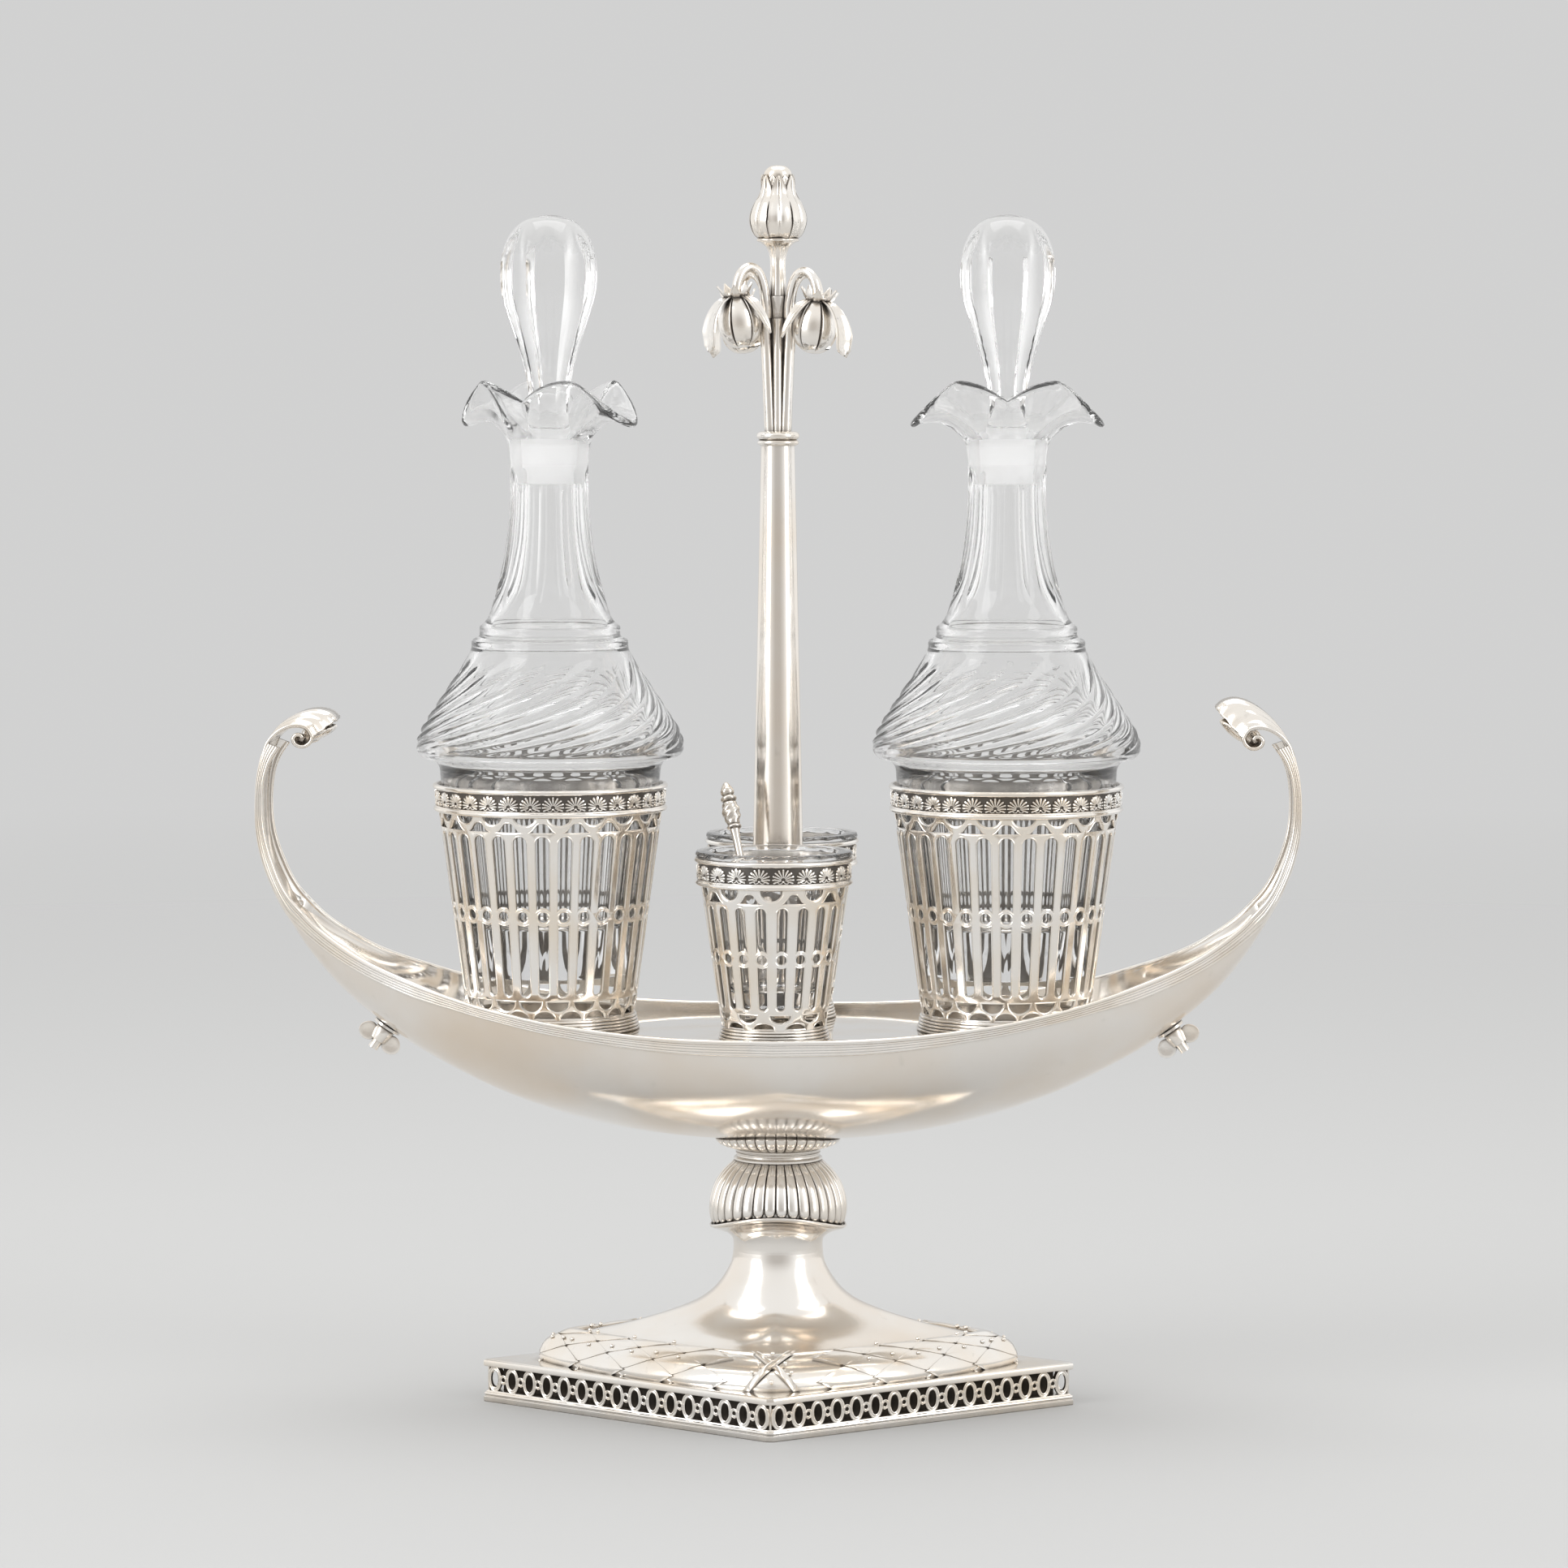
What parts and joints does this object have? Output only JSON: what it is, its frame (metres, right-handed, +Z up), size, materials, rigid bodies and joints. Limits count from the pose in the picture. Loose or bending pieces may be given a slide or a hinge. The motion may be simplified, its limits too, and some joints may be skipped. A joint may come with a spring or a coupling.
{
  "type": "cruet set",
  "caption": "Boat-shaped silver cruet stand on a lozenge foot with pierced holders, stoppered glass bottles, glass liners, a spoon and a flower-topped column.",
  "frame": {"origin": "middle of the underside of the foot, on the column's axis", "axes": "+X along the boat to the right-hand handle, +Y to the back cup holder, +Z up"},
  "size_m": [0.2958, 0.12, 0.352],
  "materials": {
    "silver": "polished",
    "oxidised_silver": "satin",
    "steel": "satin",
    "glass": "clear, cut"
  },
  "bodies": {
    "stand": {"foot_base_moulding": "silver", "foot_gallery": "oxidised_silver", "foot_backing": "steel", "foot_top_plate": "silver", "laurel_wreath": "silver", "foot_dome": "silver", "stem_spool": "silver", "gadrooned_knop": "silver", "stem_collar": "silver", "gadrooned_disc": "silver", "tie_rod": "steel", "tie_rod_nut": "steel", "boat_hull": "silver", "rim_moulding_front": "silver", "rim_moulding_back": "silver", "handle_left": "silver", "handle_right": "silver", "volute_left": "silver", "volute_right": "silver", "deck_plate": "silver", "deck_stud_left": "silver", "deck_stud_right": "silver", "washer_left": "silver", "washer_right": "silver", "holder_ring_left": "silver", "holder_ring_right": "silver", "holder_sleeve_left": "silver", "holder_sleeve_right": "silver", "holder_frieze_left": "oxidised_silver", "holder_frieze_right": "oxidised_silver", "cup_ring_front": "silver", "cup_ring_back": "silver", "cup_sleeve_front": "silver", "cup_sleeve_back": "silver", "cup_frieze_front": "oxidised_silver", "cup_frieze_back": "oxidised_silver", "column_shaft": "silver", "column_ring": "silver", "stem_bundle": "silver", "bud_finial": "silver", "flower_front_left": "silver", "flower_back_left": "silver", "flower_front_right": "silver", "flower_back_right": "silver"},
    "bottle_left": {"bottle_left": "glass"},
    "bottle_right": {"bottle_right": "glass"},
    "stopper_left": {"stopper_left": "glass"},
    "stopper_right": {"stopper_right": "glass"},
    "liner_front": {"cup_liner_front": "glass"},
    "liner_back": {"cup_liner_back": "glass"},
    "spoon": {"spoon": "silver"},
    "wing_nut_left": {"wing_nut_left": "silver"},
    "wing_nut_right": {"wing_nut_right": "silver"}
  },
  "joints": [
    {"name": "bottle_left_lift", "type": "slide", "parent": "stand", "child": "bottle_left", "axis": [0, 0, 1], "range_m": [0, 0.075]},
    {"name": "stopper_left_lift", "type": "slide", "parent": "bottle_left", "child": "stopper_left", "axis": [0, 0, 1], "range_m": [0, 0.04]},
    {"name": "bottle_right_lift", "type": "slide", "parent": "stand", "child": "bottle_right", "axis": [0, 0, 1], "range_m": [0, 0.075]},
    {"name": "stopper_right_lift", "type": "slide", "parent": "bottle_right", "child": "stopper_right", "axis": [0, 0, 1], "range_m": [0, 0.04]},
    {"name": "liner_front_lift", "type": "slide", "parent": "stand", "child": "liner_front", "axis": [0, 0, 1], "range_m": [0, 0.055]},
    {"name": "liner_back_lift", "type": "slide", "parent": "stand", "child": "liner_back", "axis": [0, 0, 1], "range_m": [0, 0.055]},
    {"name": "spoon_lift", "type": "slide", "parent": "liner_front", "child": "spoon", "axis": [0, 0, 1], "range_m": [0, 0.06]},
    {"name": "wing_nut_left_turn", "type": "hinge", "parent": "stand", "child": "wing_nut_left", "pos_m": [-0.111, 0, 0.10849], "axis": [-0.5682, 0, -0.8229], "continuous": true},
    {"name": "wing_nut_right_turn", "type": "hinge", "parent": "stand", "child": "wing_nut_right", "pos_m": [0.111, 0, 0.10849], "axis": [0.5682, 0, -0.8229], "continuous": true}
  ]
}
